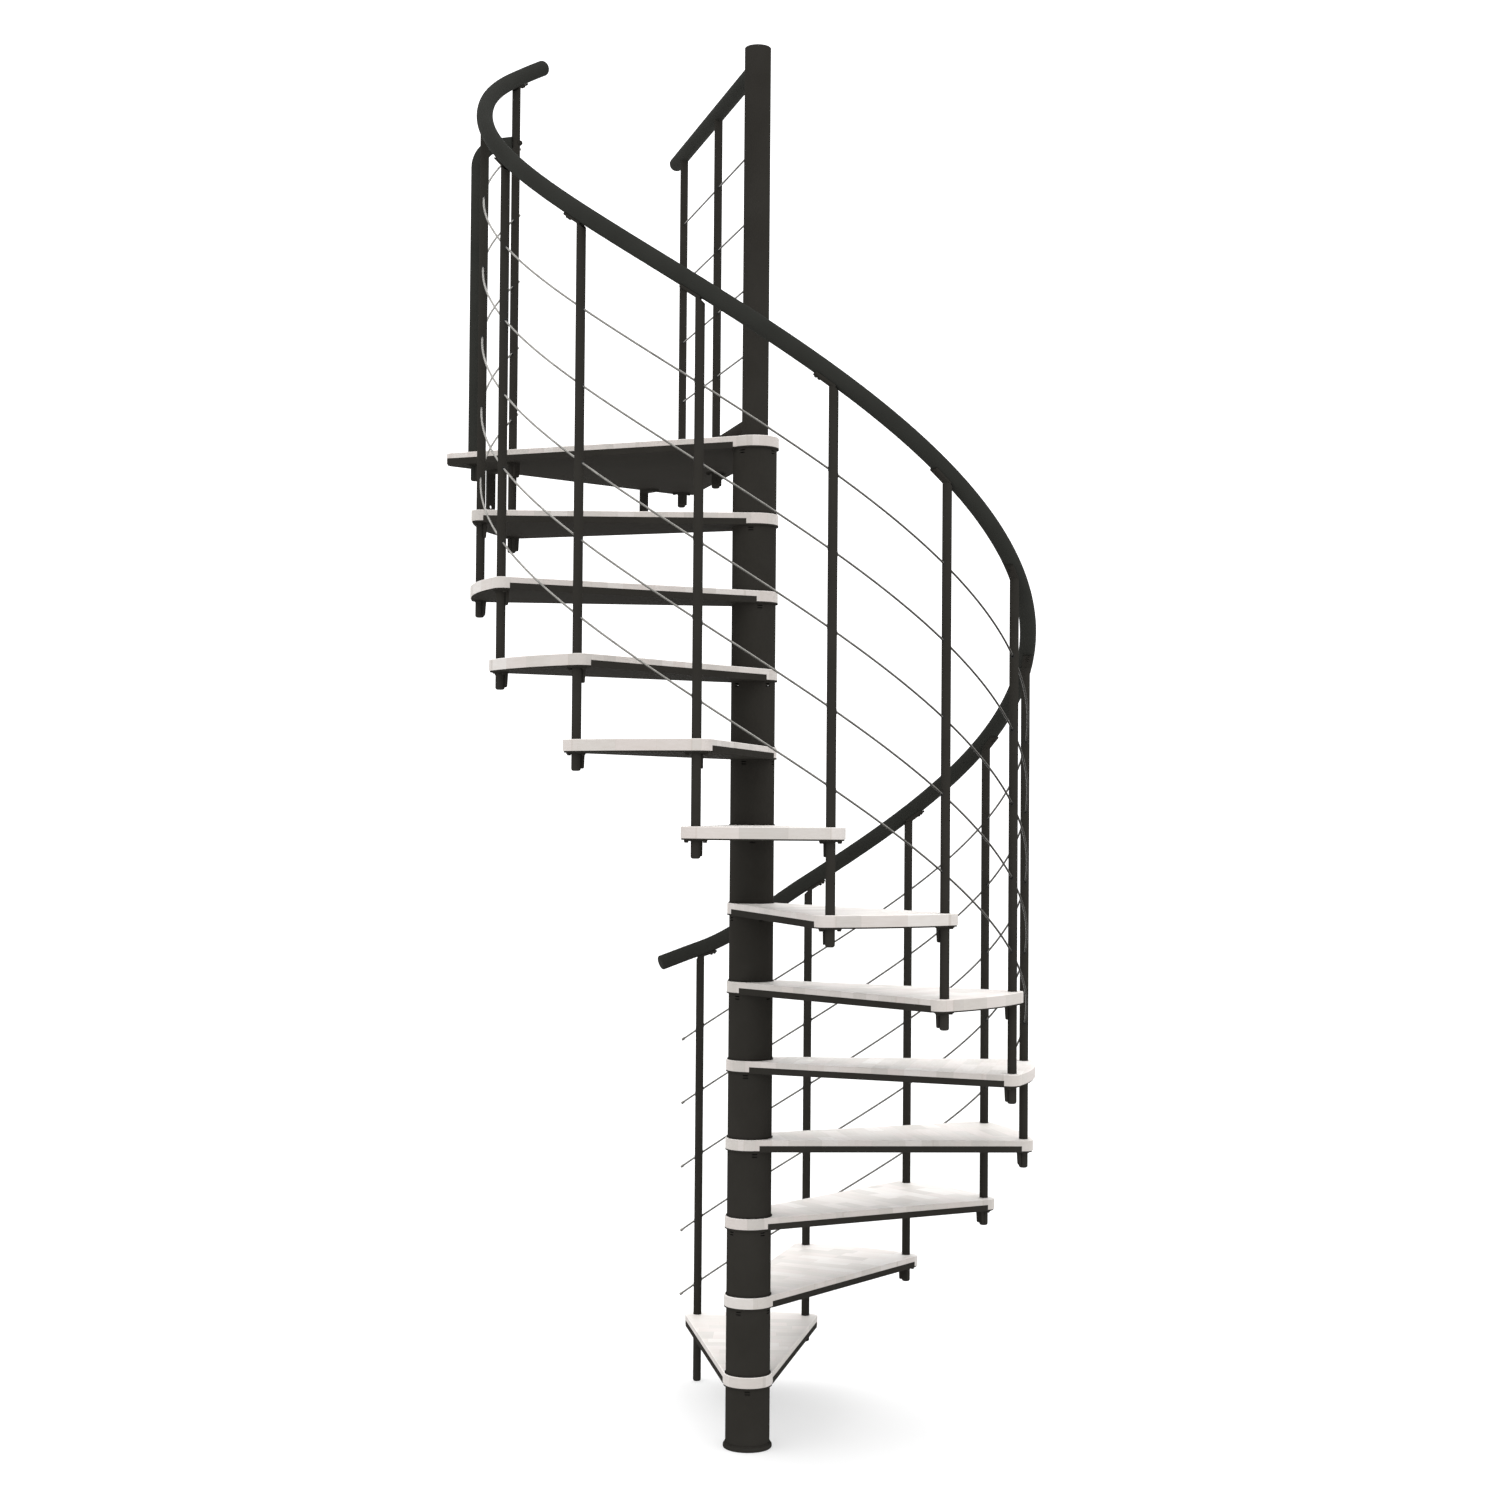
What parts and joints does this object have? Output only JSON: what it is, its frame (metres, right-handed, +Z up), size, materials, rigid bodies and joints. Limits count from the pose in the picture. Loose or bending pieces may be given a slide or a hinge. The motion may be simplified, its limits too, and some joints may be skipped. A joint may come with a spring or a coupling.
{
  "type": "spiral staircase",
  "caption": "Spiral staircase: pale wooden treads in black steel trays on a sleeved column, with round balusters, helical handrail and cables, and a corner landing with a straight guard.",
  "frame": {"origin": "centre of the column at the underside of the base flange, on the floor", "axes": "+Z up along the column; +Y along the centre line of the first tread; the flight climbs clockwise seen from above"},
  "size_m": [1.7256, 1.8187, 4.059],
  "materials": {
    "coated_steel": "satin powder coat",
    "rail_coating": "satin",
    "white_wood": "matt white-washed lacquer",
    "cable_steel": "stranded stainless"
  },
  "bodies": {
    "root": {"baluster_holders": "coated_steel", "baluster_plugs": "coated_steel", "balusters": "coated_steel", "base_flange": "coated_steel", "cable_ends": "cable_steel", "center_pole": "coated_steel", "guard_balusters": "coated_steel", "guard_bottom_rail": "coated_steel", "guard_cables": "cable_steel", "guard_handrail": "rail_coating", "handrail": "rail_coating", "handrail_brackets": "coated_steel", "handrail_caps": "rail_coating", "landing_board": "white_wood", "landing_end_post": "rail_coating", "landing_lugs": "coated_steel", "landing_tray": "coated_steel", "post_cap": "coated_steel", "railing_cables": "cable_steel", "spacer_sleeves": "coated_steel", "tread_board_01": "white_wood", "tread_board_02": "white_wood", "tread_board_03": "white_wood", "tread_board_04": "white_wood", "tread_board_05": "white_wood", "tread_board_06": "white_wood", "tread_board_07": "white_wood", "tread_board_08": "white_wood", "tread_board_09": "white_wood", "tread_board_10": "white_wood", "tread_board_11": "white_wood", "tread_board_12": "white_wood", "tread_tray_01": "coated_steel", "tread_tray_02": "coated_steel", "tread_tray_03": "coated_steel", "tread_tray_04": "coated_steel", "tread_tray_05": "coated_steel", "tread_tray_06": "coated_steel", "tread_tray_07": "coated_steel", "tread_tray_08": "coated_steel", "tread_tray_09": "coated_steel", "tread_tray_10": "coated_steel", "tread_tray_11": "coated_steel", "tread_tray_12": "coated_steel"}
  },
  "joints": []
}
